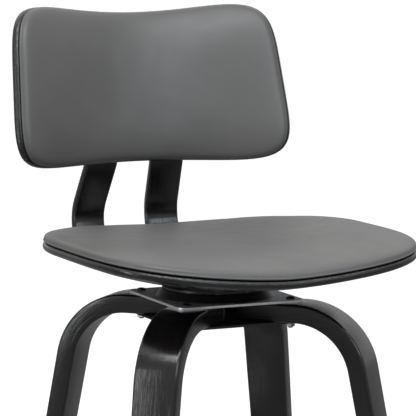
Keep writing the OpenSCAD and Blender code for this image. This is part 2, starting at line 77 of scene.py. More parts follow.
# Back
BACK_HALF_W = 221.6 * MM
BACK_TAPER = 10.9 * MM
BACK_H = 253.6 * MM
BACK_TOP_DIP = 16.9 * MM
BACK_BOTTOM_ARCH = 25.6 * MM
BACK_SQUARE = 5             # power of its superellipse
BACK_R = 320.4 * MM         # radius of the shell's rear face
BACK_SHELL_T, BACK_SHELL_ROUND = 12 * MM, 5 * MM
BACK_PAD_H = 25 * MM
RECLINE = math.radians(11.8)
BACK_MIDDLE = Vector((0, AXIS_Y + 285.1 * MM, DECK_Z + 236.7 * MM))

# Pads
PAD_FULL = 2.7             # power of the superellipse that crowns a pad
PAD_GAP = 0.3 * MM
PAD_INSET = 0.7 * MM
PAD_GROOVE = 0.9 * MM      # height of the dark groove between a pad and its shell
PAD_TUCK = 6 * MM          # depth of the groove
PAD_FOOT = 7 * MM          # how far in the underside starts
PAD_BEAD = 1.2 * MM        # radius of the bead where the cover turns under
PAD_EDGE = PAD_GROOVE + 2 * PAD_BEAD
BEAD_START, BEAD_TURN = math.radians(60), math.radians(150)      # where the bead's round starts and its turn

# Cloth simulation of the pads' covers
CLOTH_VOXEL = 6 * MM
CLOTH_FRAMES = 20
CLOTH_START = 1.2 * MM     # how much lower a pad starts than it ends
CLOTH_CAP = 5 * MM         # furthest that a point moves
CLOTH_HELD, CLOTH_FREE = 5 * MM, 14 * MM     # heights where the cover is held and free
CLOTH_NEAR, CLOTH_BLUR = 40, 5 * MM          # points of the cloth that move one point, and their softness

# Back supports
STRIP_W, STRIP_T, STRIP_ROUND = 48 * MM, 12 * MM, 3 * MM
STRIP_X = 58 * MM          # from the middle plane to a strip's upright part
STRIP_REAR = AXIS_Y + 317.8 * MM - STRIP_T / 2
STRIP_BEND_R, STRIP_TOP_BEND_R = 50 * MM, 60 * MM
# Forward lean between the bends, inward lean, and splay as seen from above
STRIP_KICK, STRIP_LEAN, STRIP_TOE = math.radians(28), math.radians(2), math.radians(6)
STRIP_RUN = 178 * MM       # length of the level stretch under the seat
STRIP_ABOVE = 25 * MM      # reach above the backrest's middle

# Legs
LEG_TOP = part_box("swivel_base_plate")[0].z
LEG_W, LEG_FOOT_W, LEG_T, LEG_ROUND = 58 * MM, 45 * MM, 25 * MM, 4 * MM
LEG_INNER, LEG_FLAT = 40 * MM, 118 * MM      # from the swivel axis to a leg's inner end and to its bend
LEG_BEND_R = 100 * MM                        # outer radius of the bend
LEG_SPLAY = math.radians(11)
GLIDE_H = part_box("front_left_glide")[1].z
LEG_ANGLES = {"front_left": -45, "front_right": -135, "rear_left": 45, "rear_right": 135}

# Plate, foot ring and bolts
PLATE_T = 3 * MM
PLATE_HOLE = 74 * MM
RING_H, RING_D = 230 * MM, 19 * MM
BOLT_R, BOLT_HEAD_R, BOLT_HEAD_H = 3.2 * MM, 6 * MM, 3.6 * MM
BOLT_RIM = 0.9 * MM             # height of the head's straight rim, below its dome
BOLT_SIDES, DOME_STEPS = 48, 7
SOCKET_R = 2.645 * MM           # from the socket's middle to a corner
SOCKET_MOUTH = 3.105 * MM       # radius where the dome ends
SOCKET_STEPS = ((1.14, 0.12 * MM), (1.04, 0), (1, -1.9 * MM))     # share of the radius, height over the dome
LEG_BOLT_END = 7 * MM           # a nut and the end of the bolt
RING_BOLT_IN = 5.5 * MM         # how far a bolt goes into the ring
SEAT_BOLTS_AT = (22 * MM, 82 * MM)        # from a strip's front end
BACK_BOLTS_AT = (-45 * MM, 5 * MM)        # up from where a strip meets the middle of the back

# Meshes
RAYS = 144
ANGLES = [2 * math.pi * j / RAYS for j in range(RAYS)]
SPREAD = [0.04, 0.15, 0.3, 0.45, 0.6, 0.72, 0.82, 0.9, 0.95, 0.975]    # rings, as shares of the way out
PAD_MIDDLE = [0.01, 0.03, 0.06, 0.1]
PAD_STEPS, EDGE_STEPS = 24, 8
SHARP = math.radians(35)

# Camera, round the swivel axis at the top of the disc
CAMERA_OFFSET = Vector((-1.2996, -2.8466, 0.4753))
CAMERA_AZIMUTH, CAMERA_ELEVATION = math.radians(-24.367), math.radians(6.826)
CAMERA_LENS = 208.2

# Light. The world and the floor look brighter to the camera than they are as lights.
SKY, SKY_GLOSS, SKY_SEEN = 0.24, 0.45, 1.05       # strength as a light, in reflections and to the camera
FLOOR_GREY, FLOOR_SEEN, FLOOR_GLOW = 0.26, 0.8, 0.52
SUN_POWER, SUN_ANGLE, SUN_TILT = 1.25, math.radians(100), (math.radians(-14), math.radians(6), 0)


# ---------------------------------------------------------------- materials

def node_material(name):
    """A new material, its node tree and its Principled shader."""
    material = bpy.data.materials.new(name)
    material.use_nodes = True
    tree = material.node_tree
    return material, tree, tree.nodes["Principled BSDF"]


def add(tree, kind, **inputs):
    """Adds a node. Keyword names are sockets, with _ for a space; a socket value links, others set."""
    made = tree.nodes.new(kind)
    for key, value in inputs.items():
        socket = made.inputs[key.replace("_", " ")]
        if isinstance(value, bpy.types.NodeSocket):
            tree.links.new(value, socket)
        else:
            socket.default_value = value
    return made


def stretched(tree, coordinate, scale):
    """Texture coordinates, scaled by (x, y, z)."""
    source = tree.nodes.new("ShaderNodeTexCoord").outputs[coordinate]
    return add(tree, "ShaderNodeMapping", Vector=source, Scale=scale).outputs["Vector"]


def noise(tree, vector, scale, detail=4.0, roughness=0.5):
    """Factor of a noise texture."""
    made = add(tree, "ShaderNodeTexNoise", Vector=vector, Scale=scale, Detail=detail, Roughness=roughness)
    return made.outputs["Fac"]


def ramp(tree, fac, stops):
    """Colour ramp through (position, colour) stops."""
    made = add(tree, "ShaderNodeValToRGB", Fac=fac)
    points = made.color_ramp.elements
    for point, (position, colour) in zip(points, stops):
        point.position, point.color = position, (*colour, 1)
    for position, colour in stops[2:]:
        points.new(position).color = (*colour, 1)
    return made.outputs["Color"]


def to_range(tree, fac, low, high):
    """A factor of 0 to 1, mapped to low to high."""
    made = add(tree, "ShaderNodeMapRange", Value=fac, To_Min=low, To_Max=high)
    return made.outputs["Result"]


def bump(tree, shader, height, distance, strength):
    """Links a bump to the shader's normal, and returns it."""
    made = add(tree, "ShaderNodeBump", Height=height, Distance=distance, Strength=strength)
    tree.links.new(made.outputs["Normal"], shader.inputs["Normal"])
    return made.outputs["Normal"]


def sum_of(tree, first, second, share):
    """first + share * second"""
    made = tree.nodes.new("ShaderNodeMath")
    made.operation = "MULTIPLY_ADD"
    tree.links.new(second, made.inputs[0])
    made.inputs[1].default_value = share
    tree.links.new(first, made.inputs[2])
    return made.outputs["Value"]


def leather():
    """Smooth grey faux leather: a fine pebble, faint creases and patchy sheen."""
    material, tree, shader = node_material("grey_faux_leather")
    place = stretched(tree, "Object", (1, 1, 1))
    mottle = noise(tree, place, 9, 3)
    colour = ramp(tree, mottle, [(0.3, (0.104, 0.102, 0.097)), (0.7, (0.126, 0.123, 0.117))])
    tree.links.new(colour, shader.inputs["Base Color"])
    pebble = add(tree, "ShaderNodeTexVoronoi", Vector=place, Scale=900.0)
    fine = noise(tree, place, 1800, 2)
    height = sum_of(tree, pebble.outputs["Distance"], fine, 0.5)
    bump(tree, shader, height, 0.00012, 0.5)
    tree.links.new(to_range(tree, noise(tree, place, 40, 5), 0.36, 0.50), shader.inputs["Roughness"])
    shader.inputs["Specular IOR Level"].default_value = 0.6
    shader.inputs["Sheen Weight"].default_value = 0.06
    shader.inputs["Sheen Roughness"].default_value = 0.4
    return material


def bentwood(name, coordinate):
    """Black lacquer over wood. The coordinate's first value, in metres, runs along the grain."""
    material, tree, shader = node_material(name)
    streaks = noise(tree, stretched(tree, coordinate, (6, 420, 420)), 1.0, 6, 0.62)
    pores = noise(tree, stretched(tree, coordinate, (22, 1500, 1500)), 1.0, 2)
    colour = ramp(tree, streaks, [(0.32, (0.0030, 0.0024, 0.0024)), (0.72, (0.0150, 0.0120, 0.0118))])
    tree.links.new(colour, shader.inputs["Base Color"])
    relief = bump(tree, shader, sum_of(tree, streaks, pores, 0.5), 0.0006, 0.5)
    tree.links.new(relief, shader.inputs["Coat Normal"])
    tree.links.new(to_range(tree, streaks, 0.18, 0.32), shader.inputs["Roughness"])
    shader.inputs["Specular IOR Level"].default_value = 0.25
    shader.inputs["Coat Weight"].default_value = 0.9
    shader.inputs["Coat Roughness"].default_value = 0.1
    return material


def powder_coat():
    """Black paint on steel, with a slight orange peel."""
    material, tree, shader = node_material("black_powder_coat")
    place = stretched(tree, "Object", (1, 1, 1))
    peel = noise(tree, place, 700, 2)
    patches = noise(tree, place, 60, 3)
    colour = ramp(tree, patches, [(0.3, (0.010, 0.010, 0.011)), (0.7, (0.019, 0.019, 0.021))])
    tree.links.new(colour, shader.inputs["Base Color"])
    bump(tree, shader, peel, 0.0002, 0.35)
    tree.links.new(to_range(tree, peel, 0.26, 0.38), shader.inputs["Roughness"])
    return material


def metal(name, low, high, smooth, rough, grain, relief):
    """Bare or plated metal. Its colour and gloss wander a little from patch to patch."""
    material, tree, shader = node_material(name)
    place = stretched(tree, "Object", grain)
    patches = noise(tree, place, 1.0, 5, 0.6)
    tree.links.new(ramp(tree, patches, [(0.3, low), (0.7, high)]), shader.inputs["Base Color"])
    tree.links.new(to_range(tree, patches, smooth, rough), shader.inputs["Roughness"])
    bump(tree, shader, patches, relief, 0.5)
    shader.inputs["Metallic"].default_value = 1.0
    return material


def plywood():
    """Bare ply, for the boards inside the pads."""
    material, tree, shader = node_material("bare_plywood")
    streaks = noise(tree, stretched(tree, "Object", (6, 180, 60)), 1.0, 5)
    colour = ramp(tree, streaks, [(0.35, (0.30, 0.19, 0.10)), (0.65, (0.50, 0.35, 0.20))])
    tree.links.new(colour, shader.inputs["Base Color"])
    bump(tree, shader, streaks, 0.0003, 0.5)
    shader.inputs["Roughness"].default_value = 0.6
    return material


def nylon():
    """Matte black plastic with a moulded texture."""
    material, tree, shader = node_material("black_nylon")
    spark = noise(tree, stretched(tree, "Object", (1, 1, 1)), 1200, 2)
    colour = ramp(tree, spark, [(0.3, (0.016, 0.016, 0.016)), (0.7, (0.028, 0.028, 0.028))])
    tree.links.new(colour, shader.inputs["Base Color"])
    bump(tree, shader, spark, 0.0002, 0.4)
    tree.links.new(to_range(tree, spark, 0.45, 0.6), shader.inputs["Roughness"])
    return material


LEATHER = leather()
WOOD = bentwood("black_bentwood", "UV")
BLOCK = bentwood("black_block", "Object")
PAINT = powder_coat()
ZINC = metal("zinc_plate", (0.70, 0.71, 0.73), (0.93, 0.94, 0.95), 0.36, 0.60, (260, 260, 260), 0.0008)
CHROME = metal("chrome_plate", (0.80, 0.81, 0.83), (0.88, 0.89, 0.91), 0.05, 0.11, (25, 25, 25), 0.00005)
PLY = plywood()
NYLON = nylon()


# ---------------------------------------------------------------- mesh building

def piece(name, bm, material, body, stands_for):
    """Turns a bmesh into a smooth piece that rides on a body and stands for CAD nodes."""
    bmesh.ops.recalc_face_normals(bm, faces=bm.faces)
    mesh = bpy.data.meshes.new(name)
    bm.to_mesh(mesh)
    bm.free()
    mesh.shade_smooth()
    mesh.materials.append(material)
    made = bpy.data.objects.new(name, mesh)
    bpy.context.scene.collection.objects.link(made)
    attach(made, body)
    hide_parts(*stands_for)
    return made


def loft(rings, uvs=None):
    """A bmesh through rings of equal point count, closed at both ends by a fan.

    uvs(ring, point) gives the UV of a ring's point, by their numbers.
    """
    bm = bmesh.new()
    rows = [[bm.verts.new(p) for p in ring] for ring in rings]
    count = len(rings[0])
    layer = bm.loops.layers.uv.new("grain")
    for i in range(len(rows) - 1):
        for j in range(count):
            n = (j + 1) % count
            face = bm.faces.new((rows[i][j], rows[i][n], rows[i + 1][n], rows[i + 1][j]))
            if uvs:
                for loop, (r, c) in zip(face.loops, ((i, j), (i, j + 1), (i + 1, j + 1), (i + 1, j))):
                    loop[layer].uv = uvs(r, c)
    for row, r in ((rows[0], 0), (rows[-1], len(rows) - 1)):
        middle = bm.verts.new(sum((v.co for v in row), Vector()) / count)
        for j in range(count):
            face = bm.faces.new((row[j], row[(j + 1) % count], middle))
            if uvs:
                for loop, c in zip(face.loops, (j, j + 1, j)):
                    loop[layer].uv = uvs(r, c)
    return bm


def unit_edge(a, square):
    """Distance to the edge of a unit superellipse at angle a."""
    return (abs(math.cos(a)) ** square + abs(math.sin(a)) ** square) ** (-1 / square)


def side_rise(x):
    """How much higher the seat's rim is than at its middle line."""
    return SEAT_SIDE_RISE * (abs(x) / SEAT_HALF_W) ** SIDE_CURVE


def seat_point(k, a, inset, lift):
    """Point on the seat's rim surface at a share k of the way out, lifted by a height."""
    front = math.sin(a) < 0
    reach = k * unit_edge(a, SEAT_FRONT_SQUARE if front else SEAT_REAR_SQUARE)
    depth = SEAT_FRONT if front else SEAT_REAR
    x = (SEAT_HALF_W - inset) * reach * math.cos(a)
    y = (depth - inset) * reach * math.sin(a)
    rear = 0 if front else SEAT_REAR_RISE * (y / depth) ** 2
    return Vector((x, AXIS_Y + SEAT_SHIFT + y, RIM_LEVEL + side_rise(x) + rear + lift))


def dish(k):
    """Height of the seat's hollow at a share k of the way out, against its rim."""
    return SEAT_DISH * (k ** DISH_CURVE - 1)


def back_point(k, a, inset, ahead):
    """Point of the backrest, a distance in front of the shell's rear face."""
    reach = k * unit_edge(a, BACK_SQUARE)
    u, v = reach * math.cos(a), reach * math.sin(a)
    bow = -BACK_TOP_DIP if v > 0 else BACK_BOTTOM_ARCH
    along = (BACK_HALF_W - inset - BACK_TAPER * v) * u
    up = (BACK_H / 2 - inset) * v + bow * (1 - u * u) * abs(v)
    turn = along / BACK_R
    r = BACK_R - ahead
    forward = BACK_R - r * math.cos(turn)
    return BACK_MIDDLE + Vector((
        r * math.sin(turn),
        -forward * math.cos(RECLINE) + up * math.sin(RECLINE),
        forward * math.sin(RECLINE) + up * math.cos(RECLINE),
    ))


def shell_rings(point, thickness, hollow, rounding):
    """Rings of a moulded shell from its upper middle, round its rounded rim, to its lower middle.

    point(k, a, inset, lift) places a point, and hollow(k) is the surface's drop at k.
    """
    rings = [[point(k, a, rounding, hollow(k)) for a in ANGLES] for k in SPREAD]
    for step in range(EDGE_STEPS + 1):
        turn = math.pi * step / EDGE_STEPS
        inset = rounding * (1 - math.sin(turn))
        shoulder = rounding * (1 - abs(math.cos(turn)))
        lift = -shoulder if step <= EDGE_STEPS // 2 else shoulder - thickness
        rings.append([point(1, a, inset, lift) for a in ANGLES])
    rings += [[point(k, a, rounding, hollow(k) - thickness) for a in ANGLES] for k in reversed(SPREAD)]
    return rings


def crown_height(height, step):
    """Height of a pad's crown at a step of PAD_STEPS from its middle to its edge."""
    crown = math.cos(math.pi / 2 * step / PAD_STEPS) ** (2 / PAD_FULL) if step < PAD_STEPS else 0
    return PAD_EDGE + (height - PAD_EDGE) * crown


def pad_rings(point, height, hollow):
    """Rings of a pad: its crown, the bead along its edge, the groove under that, and its underside."""
    crown_inset = PAD_INSET + 0.7 * PAD_BEAD
    rings = [[point(k, a, crown_inset, height) for a in ANGLES] for k in PAD_MIDDLE]
    for step in range(1, PAD_STEPS + 1):
        k = math.sin(math.pi / 2 * step / PAD_STEPS) ** (2 / PAD_FULL)
        rings.append([point(k, a, crown_inset, crown_height(height, step)) for a in ANGLES])
    for step in range(1, EDGE_STEPS + 1):
        turn = BEAD_START - BEAD_TURN * step / EDGE_STEPS
        inset = PAD_INSET + PAD_BEAD * (1 - math.cos(turn))
        rings.append([point(1, a, inset, PAD_GROOVE + PAD_BEAD * (1 + math.sin(turn))) for a in ANGLES])
    for inset, rise in ((PAD_TUCK, PAD_GROOVE), (PAD_FOOT, PAD_GAP)):
        rings.append([point(1, a, inset, rise) for a in ANGLES])
    rings += [[point(k, a, PAD_FOOT, hollow(k) + PAD_GAP) for a in ANGLES] for k in reversed(SPREAD)]
    return rings


def grain_uv(rings, across):
    """UV function for lofted rings: grain along X, and the other coordinate from `across`."""
    return lambda r, c: (rings[r][c % RAYS].x, across(rings[r][c % RAYS]))


def make_seat_shell():
    rings = shell_rings(seat_point, SEAT_SHELL_T, dish, SEAT_SHELL_ROUND)
    bm = loft(rings, grain_uv(rings, lambda p: p.y + 2 * p.z))
    piece("seat_shell_moulded", bm, WOOD, "seat", ["seat_shell"])


def make_back_shell():
    def point(k, a, inset, lift):
        return back_point(k, a, inset, BACK_SHELL_T + lift)

    rings = shell_rings(point, BACK_SHELL_T, lambda k: 0, BACK_SHELL_ROUND)
    bm = loft(rings, grain_uv(rings, lambda p: p.z + 2 * p.y))
    piece("back_shell_moulded", bm, WOOD, "seat", ["back_shell"])


def tree_of(points):
    """A tree for finding the nearest of some points."""
    tree = KDTree(len(points))
    for i, point in enumerate(points):
        tree.insert(point, i)
    tree.balance()
    return tree


def smooth_share(value, low, high):
    """0 below low, 1 above high, and a smooth rise between them."""
    share = min(1, max(0, (value - low) / (high - low)))
    return share * share * (3 - 2 * share)


def inflate(made, rises):
    """Fills a pad out as a cloth cover under pressure does, held along its edge and underside.

    An evenly meshed copy is simulated, and the pad's points follow the nearest points of the copy.
    rises has each point's height above the shell, or 0 for the groove and the underside.
    """
    mesh = made.data
    copy = bpy.data.objects.new("cloth_copy", mesh.copy())
    bpy.context.scene.collection.objects.link(copy)
    remesh = copy.modifiers.new("even", "REMESH")
    remesh.mode = "VOXEL"
    remesh.voxel_size = CLOTH_VOXEL
    even = bpy.data.meshes.new_from_object(copy.evaluated_get(bpy.context.evaluated_depsgraph_get()))
    copy.modifiers.clear()
    copy.data = even
    rest = [v.co.copy() for v in even.vertices]
    lookup = tree_of([v.co for v in mesh.vertices])
    held = copy.vertex_groups.new(name="held")
    for i, point in enumerate(rest):
        rise = rises[lookup.find(point)[1]]
        held.add([i], 1 - smooth_share(rise, CLOTH_HELD, CLOTH_FREE), "REPLACE")
    cloth = copy.modifiers.new("cloth", "CLOTH")
    cloth.settings.quality = 5
    cloth.settings.mass = 0.4
    cloth.settings.tension_stiffness = cloth.settings.compression_stiffness = 25
    cloth.settings.bending_stiffness = 2
    cloth.settings.vertex_group_mass = "held"
    cloth.settings.use_pressure = True
    cloth.settings.uniform_pressure_force = 4
    cloth.settings.effector_weights.gravity = 0
    cloth.collision_settings.use_collision = False
    cloth.point_cache.frame_start, cloth.point_cache.frame_end = 1, CLOTH_FRAMES
    for frame_number in range(1, CLOTH_FRAMES + 1):
        bpy.context.scene.frame_set(frame_number)
    swollen = copy.evaluated_get(bpy.context.evaluated_depsgraph_get()).data
    moves = [after.co - before for after, before in zip(swollen.vertices, rest)]
    lookup = tree_of(rest)
    for vertex, rise in zip(mesh.vertices, rises):
        found = lookup.find_n(vertex.co, CLOTH_NEAR)
        near = [(i, 1 / (distance + CLOTH_BLUR)) for _, i, distance in found]
        move = sum((moves[i] * weight for i, weight in near), Vector()) / sum(w for _, w in near)
        move *= CLOTH_CAP / (CLOTH_CAP + move.length)
        vertex.co += move * smooth_share(rise, CLOTH_HELD, CLOTH_FREE)
    bpy.context.scene.frame_set(1)
    bpy.data.objects.remove(copy)


def make_pad(name, point, height, hollow, node):
    """A padded cover. Its lofted shape starts a little low, and the cloth simulation fills it out."""
    start = height - CLOTH_START
    rings = pad_rings(point, start, hollow)
    made = piece(name, loft(rings), LEATHER, "seat", [node])
    heights = [start] * len(PAD_MIDDLE) + [crown_height(start, step) for step in range(1, PAD_STEPS)]
    heights += [0] * (len(rings) - len(heights))
    rises = [height for height in heights for _ in ANGLES] + [start, 0]
    inflate(made, rises)
    smooth = made.modifiers.new("smooth", "SUBSURF")
    smooth.levels = smooth.render_levels = 1


def make_seat_pad():
    make_pad("seat_pad_cover", seat_point, SEAT_PAD_H, dish, "seat_pad")


def make_back_pad():
    def point(k, a, inset, lift):
        return back_point(k, a, inset, BACK_SHELL_T + lift)

    make_pad("back_pad_cover", point, BACK_PAD_H, lambda k: 0, "back_pad")


def section(width, thick, rounding):
    """Rounded rectangle, as (across, outward) points."""
    points = []
    for cx, cy, start in ((1, 1, 0), (-1, 1, 90), (-1, -1, 180), (1, -1, 270)):
        for step in range(5):
            a = math.radians(start + 90 * step / 4)
            points.append((
                cx * (width / 2 - rounding) + rounding * math.cos(a),
                cy * (thick / 2 - rounding) + rounding * math.sin(a),
            ))
    return points


def ribbon(path, width_at, thick, rounding, place):
    """A bent strip. path has (point, outward normal) pairs in a plane; place maps (along, across, up)."""
    lengths = [0.0]
    for (p, _), (q, _) in zip(path, path[1:]):
        lengths.append(lengths[-1] + (Vector(q) - Vector(p)).length)
    total = lengths[-1]
    rings, perimeters = [], []
    for (p, n), at in zip(path, lengths):
        near = min(at, total - at)
        tuck = rounding - math.sqrt(max(0, rounding ** 2 - max(0, rounding - near) ** 2))
        outline = section(width_at(p) - 2 * tuck, thick - 2 * tuck, rounding - tuck * 0.9)
        rings.append([place(p[0] + n[0] * o, w, p[1] + n[1] * o) for w, o in outline])
        edge = [0.0]
        for a, b in zip(outline, outline[1:] + outline[:1]):
            edge.append(edge[-1] + math.dist(a, b))
        perimeters.append(edge)
    return loft(rings, lambda r, c: (lengths[r], perimeters[r][c]))


def arc(centre, radius, start, end, steps=24):
    """(point, direction from the centre) pairs along an arc, angles in radians."""
    made = []
    for i in range(steps + 1):
        a = start + (end - start) * i / steps
        d = (math.cos(a), math.sin(a))
        made.append(((centre[0] + radius * d[0], centre[1] + radius * d[1]), d))
    return made


def straight(start, end, normal, steps=10):
    """(point, normal) pairs along a line, without its last point."""
    return [
        ((start[0] + (end[0] - start[0]) * i / steps, start[1] + (end[1] - start[1]) * i / steps), normal)
        for i in range(steps)
    ]


def rounded_ends(path, rounding, steps=4):
    """The path with extra points close to both ends, so that the ends round off."""
    def near(first, second):
        (p, n), q = first, second[0]
        away = (Vector(q) - Vector(p)).normalized()
        return [
            ((p[0] + away.x * d, p[1] + away.y * d), n)
            for d in (rounding * (1 - math.cos(math.pi / 2 * i / steps)) for i in range(1, steps + 1))
        ]

    return [path[0], *near(path[0], path[1]), *path[1:-1], *reversed(near(path[-1], path[-2])), path[-1]]


def leg_face(across, z):
    """Distance from the swivel axis of a leg's straight face at a height."""
    down = (LEG_TOP - LEG_BEND_R + across * math.sin(LEG_SPLAY) - z) / math.cos(LEG_SPLAY)
    return LEG_FLAT + across * math.cos(LEG_SPLAY) + down * math.sin(LEG_SPLAY)


def make_leg(corner, degrees):
    middle_r = LEG_BEND_R - LEG_T / 2
    top = LEG_TOP - LEG_T / 2
    shoulder = LEG_TOP - LEG_BEND_R
    out = (math.cos(LEG_SPLAY), math.sin(LEG_SPLAY))
    bend = arc((LEG_FLAT, shoulder), middle_r, math.pi / 2, LEG_SPLAY)
    foot = (leg_face(middle_r, GLIDE_H), GLIDE_H)
    path = straight((LEG_INNER, top), bend[0][0], (0, 1)) + bend[:-1]
    path += straight(bend[-1][0], foot, out) + [(foot, out)]
    turn = Matrix.Rotation(math.radians(degrees), 3, "Z")

    def width_at(p):
        share = min(1, max(0, (shoulder - p[1]) / (shoulder - GLIDE_H)))
        return LEG_W + (LEG_FOOT_W - LEG_W) * share

    def place(along, across, up):
        level = max(up, GLIDE_H)
        shift = (up - level) * math.tan(LEG_SPLAY)
        return turn @ Vector((along + shift, across, level)) + Vector((0, AXIS_Y, 0))

    bm = ribbon(rounded_ends(path, LEG_ROUND), width_at, LEG_T, LEG_ROUND, place)
    piece(f"{corner}_leg_bentwood", bm, WOOD, "base", [f"{corner}_leg"])


def shell_sag(x):
    """How far the back shell's rear curves forward at a distance x from its middle."""
    return BACK_R - math.sqrt(BACK_R ** 2 - x * x)


def strip_path():
    """Middle line of a back support in its own plane: (back, up) from its rearmost point."""
    front_x = STRIP_X - (STRIP_RUN + STRIP_BEND_R) * math.sin(STRIP_TOE)
    under = [
        SHELL_LOW + side_rise(front_x + s * STRIP_W / 2) - s * STRIP_W / 2 * math.sin(STRIP_LEAN)
        for s in (-1, 1)
    ]
    mid_z = min(under) - PAD_GAP - STRIP_T / 2
    turn = math.pi / 2 + STRIP_KICK
    lean_in = math.sin(STRIP_LEAN) * math.sin(STRIP_TOE)
    recline = math.atan((math.tan(RECLINE) * math.cos(STRIP_LEAN) - lean_in) / math.cos(STRIP_TOE))
    middle_z = BACK_MIDDLE.z - mid_z
    end_x = STRIP_X - (middle_z + STRIP_ABOVE) * math.sin(STRIP_LEAN)
    touch_x = min(max(BACK_R * math.sin(STRIP_TOE), end_x - STRIP_W / 2), end_x + STRIP_W / 2)
    off = STRIP_T / 2 + 2 * PAD_GAP + (touch_x - end_x) * math.tan(STRIP_TOE) - shell_sag(touch_x)
    meet_z = (middle_z - off * math.sin(RECLINE)) / math.cos(STRIP_LEAN)
    meet_y = BACK_MIDDLE.y + off * math.cos(RECLINE) - STRIP_REAR - meet_z * lean_in
    meet = (meet_y / math.cos(STRIP_TOE), meet_z)
    kick = (STRIP_BEND_R * (math.sin(turn) - 1), STRIP_BEND_R * (1 - math.cos(turn)))
    gone = (meet[0] - kick[0]) * math.cos(recline) - (meet[1] - kick[1]) * math.sin(recline)
    length = gone / (math.cos(turn) * math.cos(recline) - math.sin(turn) * math.sin(recline))
    run = length - STRIP_TOP_BEND_R * math.tan((turn - math.pi / 2 + recline) / 2)
    elbow = (
        kick[0] + run * math.cos(turn) + STRIP_TOP_BEND_R * math.sin(turn),
        kick[1] + run * math.sin(turn) - STRIP_TOP_BEND_R * math.cos(turn),
    )
    end = (meet[0] + STRIP_ABOVE * math.sin(recline), meet[1] + STRIP_ABOVE * math.cos(recline))
    lower = arc((-STRIP_BEND_R, STRIP_BEND_R), STRIP_BEND_R, -math.pi / 2, turn - math.pi / 2)
    upper = [
        (p, (-n[0], -n[1]))
        for p, n in arc(elbow, STRIP_TOP_BEND_R, turn + math.pi / 2, math.pi - recline)
    ]
    rear = (math.cos(recline), -math.sin(recline))
    path = straight((-STRIP_BEND_R - STRIP_RUN, 0), lower[0][0], (0, -1)) + lower[:-1]
    path += straight(lower[-1][0], upper[0][0], lower[-1][1]) + upper[:-1]
    path += straight(upper[-1][0], end, rear) + [(end, rear)]
    return path, mid_z, meet, recline


def make_back_support(side, sign):
    path, mid_z, _, _ = strip_path()
    turn = Matrix.Rotation(-STRIP_TOE, 3, "Z") @ Matrix.Rotation(-STRIP_LEAN, 3, "Y")
    corner = Vector((STRIP_X, STRIP_REAR, mid_z))

    def place(back, across, up):
        p = corner + turn @ Vector((across, back, up))
        return Vector((sign * p.x, p.y, p.z))

    bm = ribbon(rounded_ends(path, STRIP_ROUND), lambda p: STRIP_W, STRIP_T, STRIP_ROUND, place)
    piece(f"{side}_back_support_bentwood", bm, WOOD, "seat", [f"{side}_back_support"])


def bevelled(name, material, width, slot):
    """A CAD node keeps its mesh, and gets a material and softened edges."""
    node = frame["nodes"][name]
    node.data.materials.clear()
    node.data.materials.append(material)
    if width:
        edge = node.modifiers.new("edge", "BEVEL")
        edge.width = width
        edge.segments = 2
        edge.limit_method = "ANGLE"
        edge.angle_limit = SHARP


def revolved(bm, profile, place, sides):
    """Adds a turned solid to a bmesh. profile has (radius, height) pairs, from the axis to the axis."""
    rows = []
    for radius, height in profile:
        points = [
            place @ Vector((radius * math.cos(a), radius * math.sin(a), height))
            for a in (2 * math.pi * i / sides for i in range(sides))
        ] if radius > 0 else [place @ Vector((0, 0, height))]
        rows.append([bm.verts.new(p) for p in points])
    for first, second in zip(rows, rows[1:]):
        for i in range(sides):
            n = (i + 1) % sides
            corners = [row[j % len(row)] for row, j in ((first, i), (first, n), (second, n), (second, i))]
            bm.faces.new(list(dict.fromkeys(corners)))


def domed_bolt(bm, place, length):
    """A button-head bolt on the plane z = 0 of its place, with a hexagonal socket in its dome."""
    profile = [(0, -length), (BOLT_R - 0.5 * MM, -length), (BOLT_R, 0.5 * MM - length), (BOLT_R, 0.05 * MM),
               (BOLT_HEAD_R - 0.2 * MM, 0.05 * MM), (BOLT_HEAD_R, 0.25 * MM), (BOLT_HEAD_R, BOLT_RIM)]
    for step in range(1, DOME_STEPS + 1):
        turn = math.pi / 2 * step / DOME_STEPS
        radius = BOLT_HEAD_R * math.cos(turn)
        if radius > SOCKET_MOUTH:
            profile.append((radius, BOLT_RIM + (BOLT_HEAD_H - BOLT_RIM) * math.sin(turn)))
    revolved(bm, profile, place, BOLT_SIDES)
    rows = [list(bm.verts)[-BOLT_SIDES:]]
    turns = [2 * math.pi * i / BOLT_SIDES for i in range(BOLT_SIDES)]
    for share, rise in SOCKET_STEPS:
        row = []
        for turn in turns:
            off_flat = turn % (math.pi / 3) - math.pi / 6
            radius = SOCKET_R * share * math.cos(math.pi / 6) / math.cos(off_flat)
            spot = Vector((radius * math.cos(turn), radius * math.sin(turn), profile[-1][1] + rise))
            row.append(bm.verts.new(place @ spot))
        rows.append(row)
    for first, second in zip(rows, rows[1:]):
        for i in range(BOLT_SIDES):
            n = (i + 1) % BOLT_SIDES
            bm.faces.new((first[i], first[n], second[n], second[i]))
    bm.faces.new(rows[-1])


def make_bolts(name, node, places, length, body):
    """One piece with a bolt at each place, each place a matrix whose Z runs out of the bolt's head."""
    bm = bmesh.new()
    for place in places:
        domed_bolt(bm, place, length)
    made = piece(name, bm, PAINT, body, [node])
    split = made.modifiers.new("edges", "EDGE_SPLIT")
    split.split_angle = SHARP
    split.use_edge_sharp = False


